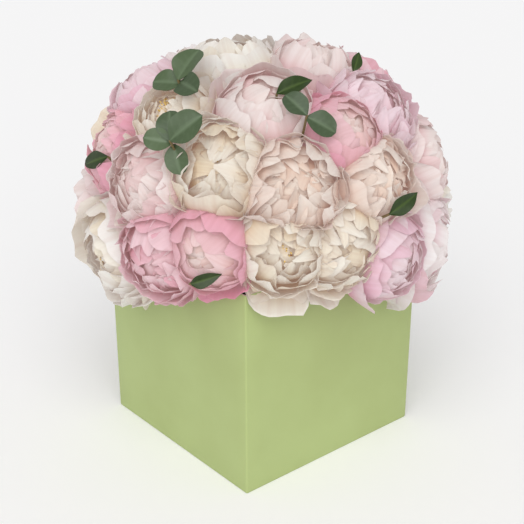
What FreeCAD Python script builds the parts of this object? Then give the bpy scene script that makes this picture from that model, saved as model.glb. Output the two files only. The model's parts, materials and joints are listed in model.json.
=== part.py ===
import FreeCAD, Part
import math
import os

import Sketcher
from FreeCAD import Placement, Rotation, Vector

# A square card flower box holding a dome of cut peonies.
# Millimetres, +Z up, origin at the middle of the base, front wall towards -Y.

os.makedirs("parts", exist_ok=True)
document = FreeCAD.newDocument("flower_box")

SIZES = {
    # the folded card box
    "box_width": 220.0,
    "box_depth": 220.0,
    "box_height": 200.0,
    "card": 1.6,
    "flap_gap": 2.0,
    "flap_past_middle": 12.0,
    "flap_slant": 14.0,
    "glue_width": 24.0,
    # what stands inside it
    "riser_wall": 5.0,
    "tray_clearance": 2.6,
    "tray_wall": 1.5,
    "tray_corner": 12.0,
    "tray_below_rim": 7.0,
    "foam_height": 80.0,
    "foam_proud": 22.0,
    "foam_bevel": 14.0,
    "foam_clearance": 0.5,
    # the dome of flowers
    "overhang": 41.0,
    "dome_seat": 22.0,
    "dome_rise": 138.0,
    "dome_fullness": 0.80,
    "flower_radius": 36.0,
    "flower_gap": 0.8,
    "petal_thickness": 1.3,
    "stem_diameter": 6.0,
    "hole_clearance": 0.15,
    # the greenery between the flowers
    "twig_diameter": 2.6,
    "twig_rise": 28.0,
    "twig_depth": 9.0,
    "leaf_thickness": 0.8,
    "gum_leaf_length": 34.0,
    "peony_leaf_length": 40.0,
}

sheet = document.addObject("Spreadsheet::Sheet", "sizes")
for row, (name, value) in enumerate(SIZES.items(), start=1):
    sheet.set("A%d" % row, name)
    sheet.set("B%d" % row, repr(value))
    sheet.setAlias("B%d" % row, name)
document.recompute()


def size(name):
    """One number read back from the sheet."""
    return float(sheet.get(name))


pieces = []


def bind(item, **expressions):
    """Tie properties of an object to formulas over the sheet."""
    for name, formula in expressions.items():
        item.setExpression(name.replace("__", "."), formula)


def keep(item, label):
    """Name an object as a finished piece of the flower box."""
    item.Label = label
    pieces.append(item)
    return item


# The four walls are flat card panels; front and back run the full width.

def wall(label, length, width, left, front):
    panel = document.addObject("Part::Box", label)
    bind(panel, Length=length, Width=width, Height="sizes.box_height",
         Placement__Base__x=left, Placement__Base__y=front)
    return keep(panel, label)


half_width = "sizes.box_width / 2"
half_depth = "sizes.box_depth / 2"
between = "sizes.box_depth - 2 * sizes.card"
wall("carton_front_wall", "sizes.box_width", "sizes.card", "-" + half_width, "-" + half_depth)
wall("carton_back_wall", "sizes.box_width", "sizes.card", "-" + half_width, half_depth + " - sizes.card")
wall("carton_left_wall", "sizes.card", between, "-" + half_width, "-" + half_depth + " + sizes.card")
wall("carton_right_wall", "sizes.card", between, half_width + " - sizes.card",
     "-" + half_depth + " + sizes.card")

# The glue flap is folded in from the left wall and lies flat against the back wall.

glue_flap = document.addObject("Part::Box", "carton_glue_flap")
bind(glue_flap, Length="sizes.glue_width", Width="sizes.card",
     Height="sizes.box_height - 4 * sizes.card - 2 * sizes.flap_slant",
     Placement__Base__x="-" + half_width + " + sizes.card",
     Placement__Base__y=half_depth + " - 2 * sizes.card",
     Placement__Base__z="2 * sizes.card + sizes.flap_slant")
keep(glue_flap, "carton_glue_flap")


# Each base flap narrows away from its crease. The outer pair meets a little off the middle, so the
# box stands on one flap at its very centre, and the inner pair lies crosswise on top.

def base_flap(label, along, reach, layer, turn, past=0):
    """A trapezium of card creased to the foot of one wall and turned about the box axis."""
    flap = document.addObject("Part::Wedge", label)
    span = "(%s - 2 * sizes.card)" % along
    bind(flap, Xmin="-%s / 2" % span, Xmax="%s / 2" % span,
         X2min="-%s / 2 + sizes.flap_slant" % span, X2max="%s / 2 - sizes.flap_slant" % span,
         Ymin="0 mm",
         Ymax="%s / 2 - sizes.card - sizes.flap_gap / 2 + %d * sizes.flap_past_middle" % (reach, past),
         Zmin="0 mm", Zmax="sizes.card", Z2min="0 mm", Z2max="sizes.card")
    flap.Placement = Placement(Vector(0, 0, 0), Rotation(Vector(0, 0, 1), turn))
    outward = {0: (0, -1), 90: (1, 0), 180: (0, 1), 270: (-1, 0)}[turn]
    inner = "(%s / 2 - sizes.card)" % reach
    bind(flap, Placement__Base__x="%d * %s" % (outward[0], inner),
         Placement__Base__y="%d * %s" % (outward[1], inner),
         Placement__Base__z="%d * sizes.card" % layer)
    return keep(flap, label)


base_flap("carton_front_base_flap", "sizes.box_width", "sizes.box_depth", 0, 0, past=1)
base_flap("carton_back_base_flap", "sizes.box_width", "sizes.box_depth", 0, 180, past=-1)
base_flap("carton_right_base_flap", "sizes.box_depth", "sizes.box_width", 1, 90)
base_flap("carton_left_base_flap", "sizes.box_depth", "sizes.box_width", 1, 270)

# A square sleeve of thick card lifts the wet tray, so that the foam stands just proud of the rim.

foam_top = "(sizes.box_height + sizes.foam_proud)"
tray_foot = "(%s - sizes.foam_height - sizes.tray_wall)" % foam_top
tray_span = "(%s - 2 * sizes.card - 2 * sizes.tray_clearance)"


def riser_block(name, inset):
    """An upright block under the tray, smaller all round by a formula."""
    block = document.addObject("Part::Box", name)
    spans = ["(%s - 2 * %s)" % (tray_span % side, inset) for side in ("sizes.box_width", "sizes.box_depth")]
    bind(block, Length=spans[0], Width=spans[1], Height=tray_foot + " - 2 * sizes.card",
         Placement__Base__x="-%s / 2" % spans[0], Placement__Base__y="-%s / 2" % spans[1],
         Placement__Base__z="2 * sizes.card")
    return block


riser = document.addObject("Part::Cut", "riser_sleeve")
riser.Base = riser_block("riser_outside", "0")
riser.Tool = riser_block("riser_inside", "sizes.riser_wall")
keep(riser, "riser_sleeve")


# The liner tray is a rounded pan: one padded outline and one pocket.

def rounded_outline(sketch, width, depth, corner):
    """A rectangle with rounded corners about the origin, its three sizes tied to formulas."""
    half_x, half_y, bend = 80.0, 70.0, 10.0
    corners = [(half_x, half_y, 0), (-half_x, half_y, 90), (-half_x, -half_y, 180), (half_x, -half_y, 270)]
    arcs = []
    for x, y, start in corners:
        middle = Vector(x - math.copysign(bend, x), y - math.copysign(bend, y), 0)
        circle = Part.Circle(middle, Vector(0, 0, 1), bend)
        arcs.append(Part.ArcOfCircle(circle, math.radians(start), math.radians(start + 90)))
    for index, arc in enumerate(arcs):
        following = arcs[(index + 1) % 4]
        sketch.addGeometry(arc, False)
        sketch.addGeometry(Part.LineSegment(arc.EndPoint, following.StartPoint), False)
    for index in range(4):
        arc, line, following = 2 * index, 2 * index + 1, (2 * index + 2) % 8
        sketch.addConstraint(Sketcher.Constraint("Tangent", arc, 2, line, 1))
        sketch.addConstraint(Sketcher.Constraint("Tangent", line, 2, following, 1))
        sketch.addConstraint(Sketcher.Constraint("Vertical" if index % 2 else "Horizontal", line))
    for arc in (2, 4, 6):
        sketch.addConstraint(Sketcher.Constraint("Equal", 0, arc))
    sketch.addConstraint(Sketcher.Constraint("Symmetric", 0, 3, 4, 3, -1, 1))
    limits = [("width", Sketcher.Constraint("DistanceX", 3, 1, 7, 1, 2 * half_x), width),
              ("depth", Sketcher.Constraint("DistanceY", 5, 1, 1, 1, 2 * half_y), depth),
              ("corner", Sketcher.Constraint("Radius", 0, bend), corner)]
    for name, constraint, formula in limits:
        number = sketch.addConstraint(constraint)
        sketch.renameConstraint(number, name)
        sketch.setExpression("Constraints." + name, formula)


tray = document.addObject("PartDesign::Body", "liner_tray")
outer = tray.newObject("Sketcher::SketchObject", "tray_outline")
rounded_outline(outer, tray_span % "sizes.box_width", tray_span % "sizes.box_depth", "sizes.tray_corner")
pan = tray.newObject("PartDesign::Pad", "tray_pan")
pan.Profile = outer
tray_height = "sizes.box_height - sizes.tray_below_rim - %s" % tray_foot
pan.setExpression("Length", tray_height)
inner = tray.newObject("Sketcher::SketchObject", "tray_hollow_outline")
rounded_outline(inner, "%s - 2 * sizes.tray_wall" % (tray_span % "sizes.box_width"),
                "%s - 2 * sizes.tray_wall" % (tray_span % "sizes.box_depth"),
                "sizes.tray_corner - sizes.tray_wall")
inner.setExpression("AttachmentOffset.Base.z", "sizes.tray_wall")
hollow = tray.newObject("PartDesign::Pocket", "tray_hollow")
hollow.Profile = inner
hollow.Reversed = True
hollow.setExpression("Length", tray_height)
for sketch in (outer, inner):
    sketch.AttachmentSupport = [(tray.Origin.OriginFeatures[3], "")]
    sketch.MapMode = "FlatFace"
bind(tray, Placement__Base__z=tray_foot)
keep(tray, "liner_tray")
document.recompute()

# From here on the shapes are grown flower by flower, with every length read from the sheet.

half_x = size("box_width") / 2
half_y = size("box_depth") / 2
rim = size("box_height")
foam_level = rim + size("foam_proud")
stem_radius = size("stem_diameter") / 2
calyx_radius = 1.35 * stem_radius
twig_radius = size("twig_diameter") / 2


def heading(azimuth, elevation):
    """A unit vector from an azimuth counted from +X and an elevation, both in degrees."""
    turn, lift = math.radians(azimuth), math.radians(elevation)
    return Vector(math.cos(lift) * math.cos(turn), math.cos(lift) * math.sin(turn), math.sin(lift))


def dome_point(azimuth, elevation, reach=1.0):
    """A point on the rounded dome that carries the middles of the flowers."""
    way = heading(azimuth, elevation)
    flat = math.hypot(way.x, way.y)
    spread = reach * flat ** size("dome_fullness") / max(flat, 1e-9)
    lift = math.copysign(abs(way.z) ** size("dome_fullness"), way.z)
    return Vector((half_x + size("overhang")) * spread * way.x,
                  (half_y + size("overhang")) * spread * way.y,
                  rim + size("dome_seat") + size("dome_rise") * lift)


# Flower plan: group, azimuth, elevation, relative size, reach from the dome, kind of bloom.
# Azimuths from 230 round to 50 face the viewer; the rest close the far side of the dome.

FLOWERS = [
    ("rim", 256, -3, 1.15, 1.00, "cup"),
    ("rim", 284, 0, 0.90, 1.00, "ruffle"),
    ("rim", 304, 4, 1.00, 1.00, "ball"),
    ("rim", 327, 0, 1.20, 1.00, "cup"),
    ("rim", 347, 7, 0.85, 0.98, "ruffle"),
    ("rim", 7, -2, 1.00, 1.04, "ball"),
    ("rim", 33, -3, 1.20, 1.09, "cup"),
    ("rim", 62, 0, 1.00, 1.05, "ruffle"),
    ("rim", 94, 0, 1.00, 1.00, "ball"),
    ("rim", 126, 0, 1.05, 1.00, "cup"),
    ("rim", 158, 0, 1.00, 1.00, "ruffle"),
    ("rim", 190, 0, 1.00, 1.00, "ball"),
    ("rim", 221, 1, 1.00, 1.00, "ruffle"),
    ("lower", 274, 26, 0.95, 1.00, "ruffle"),
    ("lower", 302, 35, 1.20, 1.00, "cup"),
    ("lower", 332, 26, 1.10, 1.00, "ruffle"),
    ("lower", 4, 23, 0.95, 1.00, "ruffle"),
    ("lower", 40, 21, 1.00, 1.00, "ball"),
    ("lower", 243, 26, 1.00, 1.00, "ruffle"),
    ("lower", 72, 27, 1.00, 1.00, "ball"),
    ("lower", 107, 27, 1.00, 1.00, "ruffle"),
    ("lower", 141, 27, 1.00, 1.00, "ball"),
    ("lower", 175, 27, 1.00, 1.00, "cup"),
    ("lower", 209, 27, 1.00, 1.00, "ball"),
    ("upper", 325, 60, 1.05, 1.00, "ball"),
    ("upper", 355, 46, 0.95, 1.00, "ball"),
    ("upper", 26, 49, 0.95, 1.00, "ruffle"),
    ("upper", 268, 56, 0.95, 1.00, "cup"),
    ("upper", 227, 54, 0.95, 1.00, "ball"),
    ("upper", 190, 57, 0.95, 1.00, "ruffle"),
    ("upper", 152, 57, 0.95, 1.00, "cup"),
    ("upper", 112, 57, 1.00, 1.00, "ruffle"),
    ("upper", 66, 55, 0.95, 1.00, "ball"),
    ("crown", 190, 83, 1.10, 1.00, "cup"),
    ("crown", 48, 77, 0.95, 1.00, "ruffle"),
]

# Greenery plan: name, azimuth, elevation, leaf headings round the twig, kind of leaf.

GREENERY = [
    ("gum_sprig_upper_left", 246, 70, (95, 30, 200), "gum"),
    ("gum_sprig_left", 285, 43, (60, 125, 195, 300), "gum"),
    ("gum_sprig_right", 341, 53, (110, 300), "gum"),
    ("gum_sprig_back", 125, 42, (40, 160, 280), "gum"),
    ("peony_leaf_left", 231, 14, (180,), "peony"),
    ("peony_leaf_top", 42, 64, (60,), "peony"),
    ("peony_leaf_crown", 346, 70, (205,), "peony"),
    ("peony_leaf_right", 20, 10, (10,), "peony"),
    ("peony_leaf_front", 295, 1, (325,), "peony"),
    ("peony_leaf_back", 174, 13, (90,), "peony"),
]

def frame_at(point, way):
    """A placement whose local X runs sideways, Y runs up the dome and Z points outward."""
    sideways = Vector(0, 0, 1).cross(way).normalize()
    return Placement(point, Rotation(sideways, way.cross(sideways), way, "ZXY"))


def nearest_on_line(point, start, end):
    """The point of a straight piece of stem that lies nearest to another point."""
    run = end - start
    along = max(0.0, min(1.0, (point - start).dot(run) / run.dot(run)))
    return start + run * along


def rod(start, end, radius):
    return Part.makeCylinder(radius, (end - start).Length, start, end - start)


def foam_anchor(point, inward, depth):
    """The foot of a stem: a share of the way in from the dome and a depth below the foam top."""
    return Vector(point.x * inward, point.y * inward, foam_level - depth)


# Stems from higher on the dome end nearer the middle of the foam, so that no two cross.

STEM_SHARE = {"rim": 0.50, "lower": 0.32, "upper": 0.20, "crown": 0.12}
TWIG_SHARE = 0.46
RIM_NOD = 6.0

middles, ways, radii, bases, anchors = [], [], [], [], []
for group, azimuth, elevation, share, reach, _ in FLOWERS:
    middle = dome_point(azimuth, elevation, reach)
    way = heading(azimuth, elevation - (RIM_NOD if group == "rim" else 0.0))
    radius = size("flower_radius") * share
    middles.append(middle)
    ways.append(way)
    radii.append(radius)
    bases.append(middle - way * radius * 0.93)
    anchors.append(foam_anchor(middle, STEM_SHARE[group], 20.0 + 28.0 * max(0.0, way.z)))
twigs = []
for _, azimuth, elevation, _, _ in GREENERY:
    tip = dome_point(azimuth, elevation) + heading(azimuth, elevation) * size("twig_rise")
    twigs.append((tip, foam_anchor(tip, TWIG_SHARE, size("twig_depth"))))


def walls_round(index):
    """Where the neighbours stop one flower: distances and headings of the planes it may not pass."""
    here, share = middles[index], FLOWERS[index][3]
    planes = []
    for other, flower in enumerate(FLOWERS):
        if other != index:
            apart = middles[other] - here
            planes.append((apart.Length * share / (share + flower[3]) - size("flower_gap") / 2, apart))
            nearest = nearest_on_line(here, bases[other], anchors[other])
            planes.append(((nearest - here).Length - calyx_radius - size("flower_gap"), nearest - here))
    for start, end in twigs:
        nearest = nearest_on_line(here, start, end)
        planes.append(((nearest - here).Length - twig_radius - size("flower_gap"), nearest - here))
    return planes


def room_for(middle, planes, radius):
    """The space of one flower: a block cut back by the planes between it and its neighbours."""
    space = Part.makeBox(4 * radius, 4 * radius, 4 * radius, middle - Vector(2, 2, 2) * radius)
    for distance, way in planes:
        if distance < radius:
            beyond = Part.makeBox(8 * radius, 8 * radius, 8 * radius, Vector(-4, -4, 0) * radius)
            foot = middle + Vector(way).normalize() * distance
            beyond.Placement = Placement(foot, Rotation(Vector(0, 0, 1), way))
            space = space.cut(beyond)
    return space


# Petals. Every petal lies on its own ball-shaped shell round the middle of the bloom. The shells
# shrink one by one and turn by the golden angle, so petals overlap closely and never touch;
# a pointed receptacle below gathers all their claws into one solid.

GOLDEN_ANGLE = 137.508
PETAL_BALL = 40.0

# Kinds of bloom: petals, half width, height of outer and inner petals, notch, heart size.
# Widths, heights and the heart are shares of the petal's own shell.

KINDS = {
    "ball": (8, 0.74, 0.78, 0.84, 0.03, 0.42),
    "cup": (8, 0.70, 0.42, 0.80, 0.08, 0.44),
    "ruffle": (10, 0.54, 0.55, 0.84, 0.12, 0.38),
}


def outline_prism(points, depth):
    """A closed outline of short edges drawn across X and stretched along X; on a ball they cut arcs."""
    outline = Part.makePolygon([Vector(0, across, up) for across, up in points + points[:1]])
    return Part.Face(outline).extrude(Vector(depth, 0, 0))


def cupped_plate(radius, thickness, points):
    """A piece of a thin ball-shaped shell, cut out by a closed outline seen along X."""
    seam_away = Rotation(Vector(0, 0, 1), 180)
    shell = Part.makeSphere(radius).cut(Part.makeSphere(radius - thickness))
    shell.Placement = Placement(Vector(0, 0, 0), seam_away)
    return shell.common(outline_prism(points, radius * 1.1))


def petal_outline(radius, half_width, height, notch):
    """Narrow claw, broad shoulders and a top edge with a dip between two lobes."""
    inside = 1.0 - size("petal_thickness") / radius
    height = min(height, 0.93 * math.sqrt(inside ** 2 - (0.42 * half_width) ** 2))
    right = [(0.10, -0.92), (0.34, -0.66), (0.86 * half_width, -0.28), (half_width, 0.10 * height),
             (0.94 * half_width, 0.48 * height), (0.74 * half_width, 0.84 * height),
             (0.42 * half_width, height)]
    left = [(-across, up) for across, up in reversed(right)]
    return [(radius * across, radius * up) for across, up in right + [(0.0, height - notch)] + left]


def bloom(kind):
    """One bloom of unit kind: petals, heart and receptacle in one solid, facing +Z."""
    petals, half_width, outer_height, inner_height, notch, heart = KINDS[kind]
    thickness = size("petal_thickness")
    smallest = PETAL_BALL * heart + 2.0 * thickness
    step = (PETAL_BALL - smallest) / (petals - 1)
    parts = []
    for number in range(petals):
        inwards = number / (petals - 1)
        radius = PETAL_BALL - step * number
        height = outer_height + (inner_height - outer_height) * inwards
        petal = cupped_plate(radius, thickness, petal_outline(radius, half_width, height, notch))
        petal.rotate(Vector(0, 0, 0), Vector(0, 1, 0), 6.0 - 8.0 * inwards)
        petal.rotate(Vector(0, 0, 0), Vector(0, 0, 1), GOLDEN_ANGLE * number)
        parts.append(petal)
    parts.append(Part.makeSphere(PETAL_BALL * heart))
    depth = PETAL_BALL * 0.97
    receptacle = Part.makeCone(PETAL_BALL * 0.46, 1.0, depth, Vector(0, 0, -depth))
    receptacle = receptacle.common(Part.makeSphere(PETAL_BALL - thickness / 2))
    return receptacle.multiFuse(parts)


def largest_solid(shape):
    return max(shape.Solids, key=lambda solid: solid.Volume)


blooms = {kind: bloom(kind) for kind in KINDS}

# The card box with a little air round it, which no petal may enter.

air = size("flower_gap")
no_entry = Part.makeBox(2 * (half_x + air), 2 * (half_y + air), rim + air,
                        Vector(-half_x - air, -half_y - air, 0))

holes = []
counts = {}
for index, (group, _, _, _, _, kind) in enumerate(FLOWERS):
    middle, radius, base, anchor = middles[index], radii[index], bases[index], anchors[index]
    place = frame_at(middle, ways[index])
    space = room_for(middle, walls_round(index), radius)
    if group == "rim":
        space = space.cut(no_entry)
        holes.append(Part.makeSphere(radius + air, middle))
        holes.append(Part.makeSphere(calyx_radius + size("hole_clearance"), base))
    stem = rod(base, anchor, stem_radius)
    calyx = Part.makeSphere(calyx_radius, base)
    for item in (space, stem, calyx):
        item.Placement = place.inverse().multiply(item.Placement)
    head = blooms[kind].copy()
    head.rotate(Vector(0, 0, 0), Vector(0, 0, 1), 50.0 * index)
    head.scale(radius / PETAL_BALL)
    head = largest_solid(head.common(space))
    counts[group] = counts.get(group, 0) + 1
    label = "peony_%s_%02d" % (group, counts[group])
    item = document.addObject("Part::Feature", label)
    item.Shape = largest_solid(head.multiFuse([stem, calyx]))
    item.Placement = place
    keep(item, label)
    holes.append(rod(base, anchor + (anchor - base).normalize() * size("hole_clearance"),
                     stem_radius + size("hole_clearance")))


# Greenery: a twig pushed into the foam between the flowers, carrying cupped leaves. Each leaf stalk
# is narrower than the rounded end of its twig and starts a little inside it.

STALK_SHARE = 0.7
STALK_SINK = 0.3

def leaf(kind):
    """One leaf with its stalk at the origin, growing along +X and cupped towards +Z."""
    length = size(kind + "_leaf_length")
    if kind == "gum":
        half = [(0.13, 0.08), (0.26, 0.18), (0.35, 0.32), (0.385, 0.48),
                (0.36, 0.64), (0.29, 0.79), (0.17, 0.92)]
    else:
        half = [(0.08, 0.08), (0.17, 0.20), (0.23, 0.36), (0.215, 0.54), (0.15, 0.74), (0.07, 0.90)]
    half = [(STALK_SHARE * twig_radius / length, 0.0)] + half
    points = half + [(0.0, 1.0)] + [(-across, along) for across, along in reversed(half)]
    ball = length * 1.2
    dip = ball - math.sqrt(ball ** 2 - (length / 2) ** 2)
    plate = cupped_plate(ball, size("leaf_thickness"),
                         [(length * across, length * (along - 0.5)) for across, along in points])
    plate.translate(Vector(-ball, 0, 0))
    plate.rotate(Vector(0, 0, 0), Vector(0, 1, 0), 90)
    plate.translate(Vector(length * 0.5 - STALK_SINK * twig_radius, 0, -dip))
    return plate


leaves = {kind: leaf(kind) for kind in ("gum", "peony")}

for (label, azimuth, elevation, turns, kind), (tip, foot) in zip(GREENERY, twigs):
    way = heading(azimuth, elevation)
    place = frame_at(tip, way)
    back = place.inverse()
    twig = rod(foot, tip, twig_radius)
    end = Part.makeSphere(twig_radius * 1.1, tip)
    for item in (twig, end):
        item.Placement = back.multiply(item.Placement)
    parts = [end]
    for number, turn in enumerate(turns):
        plate = leaves[kind].copy()
        plate.rotate(Vector(0, 0, 0), Vector(0, 1, 0), -(24.0 + 12.0 * (number % 2)))
        plate.rotate(Vector(0, 0, 0), Vector(0, 0, 1), turn)
        plate.translate(Vector(0, 0, -3.0 * number))
        parts.append(plate)
    item = document.addObject("Part::Feature", label)
    item.Shape = largest_solid(twig.multiFuse(parts))
    item.Placement = place
    keep(item, label)
    holes.append(rod(tip, foot + (foot - tip).normalize() * size("hole_clearance"),
                     twig_radius + size("hole_clearance")))

# The foam: two bricks side by side in the tray, bevelled round the top, scooped out where the
# heads over the rim press into its shoulders, and pierced by every stem and twig.

inset = size("card") + size("tray_clearance") + size("tray_wall") + size("foam_clearance")
foam_x, foam_y = half_x - inset, half_y - inset
corner = size("tray_corner")
bevel = size("foam_bevel")
foot_level = foam_level - size("foam_height")


def foam_section(shrink, level):
    """The cut-off square outline of the foam at one level."""
    x, y, cut = foam_x - shrink, foam_y - shrink, corner
    points = [(x, y - cut), (x - cut, y), (cut - x, y), (-x, y - cut),
              (-x, cut - y), (cut - x, -y), (x - cut, -y), (x, cut - y)]
    return Part.makePolygon([Vector(a, b, level) for a, b in points + points[:1]])


whole = Part.makeLoft([foam_section(0.0, foot_level), foam_section(0.0, foam_level - bevel)], True, True)
whole = whole.fuse(Part.makeLoft([foam_section(0.0, foam_level - bevel), foam_section(bevel, foam_level)],
                                 True, True)).removeSplitter()
pierced = whole.cut(holes)
joint_gap = size("foam_clearance") / 2
for label, side in (("foam_brick_left", -1), ("foam_brick_right", 1)):
    half_space = Part.makeBox(foam_x, 2 * foam_y, size("foam_height"),
                              Vector(joint_gap if side > 0 else -foam_x - joint_gap, -foam_y, foot_level))
    item = document.addObject("Part::Feature", label)
    item.Shape = largest_solid(pierced.common(half_space))
    keep(item, label)

document.recompute()
for item in document.Objects:
    if "Invalid" in item.State or "Error" in item.State:
        raise RuntimeError("%s did not compute: %s" % (item.Label, item.State))
for item in pieces:
    if item.Shape.isNull() or not item.Shape.isValid():
        raise RuntimeError("%s has no valid shape" % item.Label)
for item in pieces:
    item.Shape.exportStep("parts/%s.step" % item.Label)
print("%d pieces written" % len(pieces))
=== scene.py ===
# %% [markdown]
# # A card box full of peonies
# The measured model of the flower box comes first. It gives every piece its place, its size and the
# body it moves with; this lesson then makes the pieces look like card, petals, leaves and foam.
# Everything below is in metres, with +Z up and the front wall of the box towards -Y.

import json
import math

import bpy
import numpy as np
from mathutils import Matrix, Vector


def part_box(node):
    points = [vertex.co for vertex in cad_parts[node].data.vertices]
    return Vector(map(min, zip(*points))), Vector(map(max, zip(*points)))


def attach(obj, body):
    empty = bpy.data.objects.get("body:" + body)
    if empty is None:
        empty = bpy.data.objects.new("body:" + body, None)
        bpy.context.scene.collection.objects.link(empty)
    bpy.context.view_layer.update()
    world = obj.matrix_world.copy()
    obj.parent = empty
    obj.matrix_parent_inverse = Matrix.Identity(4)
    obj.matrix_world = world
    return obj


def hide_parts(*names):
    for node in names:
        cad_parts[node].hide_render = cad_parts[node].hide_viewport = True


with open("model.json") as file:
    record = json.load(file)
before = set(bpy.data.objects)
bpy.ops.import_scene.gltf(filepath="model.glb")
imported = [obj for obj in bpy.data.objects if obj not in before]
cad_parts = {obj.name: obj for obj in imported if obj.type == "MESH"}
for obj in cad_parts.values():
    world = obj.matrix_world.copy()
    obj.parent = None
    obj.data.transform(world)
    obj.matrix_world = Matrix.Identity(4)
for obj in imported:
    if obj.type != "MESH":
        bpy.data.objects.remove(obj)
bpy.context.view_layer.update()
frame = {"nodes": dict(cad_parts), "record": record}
nodes = frame["nodes"]
MM = 0.001


# %% [markdown]
# ## The camera
# A picture of a box gives its camera away: the corners of the base and the vertical edges fix where
# the camera stood. It stood to the right of the front corner, a little above the flowers, with a
# slightly long lens, so the two walls that show are almost equally wide. A camera can be turned by
# three angles; a heading and a drop are used here, because they read like a photographer's notes.

# %% Camera at the photograph's place
CAMERA_PLACE = Vector((0.6740, -0.5675, 0.5080))
CAMERA_HEADING = math.radians(49.84)
CAMERA_DROP = math.radians(20.86)
LENS_MM = 63.44
SENSOR_MM = 36.0

camera = bpy.data.objects.new("camera", bpy.data.cameras.new("camera"))
bpy.context.scene.collection.objects.link(camera)
camera.data.lens = LENS_MM
camera.data.sensor_width = SENSOR_MM
camera.location = CAMERA_PLACE
backward = Vector((math.sin(CAMERA_HEADING) * math.cos(CAMERA_DROP),
                   -math.cos(CAMERA_HEADING) * math.cos(CAMERA_DROP), math.sin(CAMERA_DROP)))
camera.rotation_mode = "QUATERNION"
camera.rotation_quaternion = (-backward).to_track_quat("-Z", "Y")
bpy.context.scene.camera = camera
print("camera", round(camera.location.length, 2), "m from the middle of the base")

# %% [markdown]
# ## Studio light and floor
# The flowers were lit by a big soft source: both walls are equally bright and the shadow on the floor
# is only a thin pale line. Several area lamps could do it; a white world gives the even part more
# simply, and one sun with a very wide disc gives a hint of direction. The floor is one large sheet
# whose own colour makes the pale background.

# %% Light, world and floor
WORLD_STRENGTH = 0.50
SUN_STRENGTH = 2.35
SUN_DISC = math.radians(70)
SUN_FROM = Vector((0.74, -0.69, 0.72))
FLOOR_HALF = 20
bpy.context.scene.view_settings.view_transform = "Standard"

world = bpy.data.worlds.new("studio")
bpy.context.scene.world = world
world.use_nodes = True
world.node_tree.nodes["Background"].inputs["Color"].default_value = (1.0, 0.995, 0.985, 1.0)
world.node_tree.nodes["Background"].inputs["Strength"].default_value = WORLD_STRENGTH

sun = bpy.data.objects.new("soft_sun", bpy.data.lights.new("soft_sun", "SUN"))
sun.data.energy = SUN_STRENGTH
sun.data.angle = SUN_DISC
sun.rotation_mode = "QUATERNION"
sun.rotation_quaternion = (-SUN_FROM).to_track_quat("-Z", "Y")
bpy.context.scene.collection.objects.link(sun)

floor_corners = [(-FLOOR_HALF, -FLOOR_HALF, 0), (FLOOR_HALF, -FLOOR_HALF, 0),
                 (FLOOR_HALF, FLOOR_HALF, 0), (-FLOOR_HALF, FLOOR_HALF, 0)]
floor_mesh = bpy.data.meshes.new("floor")
floor_mesh.from_pydata(floor_corners, [], [(0, 1, 2, 3)])
floor = bpy.data.objects.new("floor", floor_mesh)
bpy.context.scene.collection.objects.link(floor)
print("sun", SUN_STRENGTH, "and world", WORLD_STRENGTH, "over a floor", 2 * FLOOR_HALF, "m wide")

# %% [markdown]
# ## A small kit for materials
# Every finish here starts from the Principled shader. Plain numbers go straight onto its sockets;
# only what really varies over a surface, such as colour and tiny bumps, comes through nodes. Pictures
# of card or petals could be wrapped on instead, but noise needs no picture and has no seams.

# %% Material helpers


def linear(*rgb):
    """Screen colour, 0 to 255, as the linear light that shaders work in."""
    steps = np.array(rgb, float) / 255.0
    return np.where(steps <= 0.04045, steps / 12.92, ((steps + 0.055) / 1.055) ** 2.4)


def finish(name, rough, colour=None, **sockets):
    """A Principled material; sockets are given by their names with spaces as underscores."""
    material = bpy.data.materials.new(name)
    material.use_nodes = True
    shader = material.node_tree.nodes["Principled BSDF"]
    shader.inputs["Roughness"].default_value = rough
    if colour is not None:
        shader.inputs["Base Color"].default_value = (*linear(*colour), 1.0)
    for socket, value in sockets.items():
        shader.inputs[socket.replace("_", " ")].default_value = value
    return material, material.node_tree, shader


def noise(tree, scale, detail=4.0, stretch=(1, 1, 1)):
    """Noise in the object's own space, so it stays put when the piece moves."""
    place = tree.nodes.new("ShaderNodeTexCoord")
    mapping = tree.nodes.new("ShaderNodeMapping")
    mapping.inputs["Scale"].default_value = stretch
    tree.links.new(place.outputs["Object"], mapping.inputs["Vector"])
    texture = tree.nodes.new("ShaderNodeTexNoise")
    texture.inputs["Scale"].default_value = scale
    texture.inputs["Detail"].default_value = detail
    tree.links.new(mapping.outputs["Vector"], texture.inputs["Vector"])
    return texture.outputs["Fac"]


def two_tone(tree, fac, low, high, span=(0.35, 0.65)):
    """A ramp between two screen colours."""
    ramp = tree.nodes.new("ShaderNodeValToRGB")
    ramp.color_ramp.elements[0].position = span[0]
    ramp.color_ramp.elements[1].position = span[1]
    ramp.color_ramp.elements[0].color = (*linear(*low), 1.0)
    ramp.color_ramp.elements[1].color = (*linear(*high), 1.0)
    tree.links.new(fac, ramp.inputs["Fac"])
    return ramp.outputs["Color"]


def paint(tree, shader, colour):
    """Lead a colour that varies into the shader."""
    tree.links.new(colour, shader.inputs["Base Color"])


def tiny_bumps(tree, shader, fac, strength, height):
    """Small relief from a grey value."""
    bump = tree.nodes.new("ShaderNodeBump")
    bump.inputs["Strength"].default_value = strength
    bump.inputs["Distance"].default_value = height
    tree.links.new(fac, bump.inputs["Height"])
    tree.links.new(bump.outputs["Normal"], shader.inputs["Normal"])


floor_finish, _, _ = finish("pale_floor", 0.9, (253, 253, 254), Specular_IOR_Level=0.0)
floor.data.materials.append(floor_finish)
print("floor finish", floor_finish.name)

# %% [markdown]
# ## Card, liner and foam finishes
# The box is green card with a satin varnish: an even apple green with the faintest mottling. Its
# inside is bare white board. The riser is brown board with long fibres, the liner black moulded
# plastic, and floral foam is a dark green crumbly block full of tiny cells. Each is one noise for the
# colour and one for the relief, because none of them has a pattern that repeats.

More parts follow.
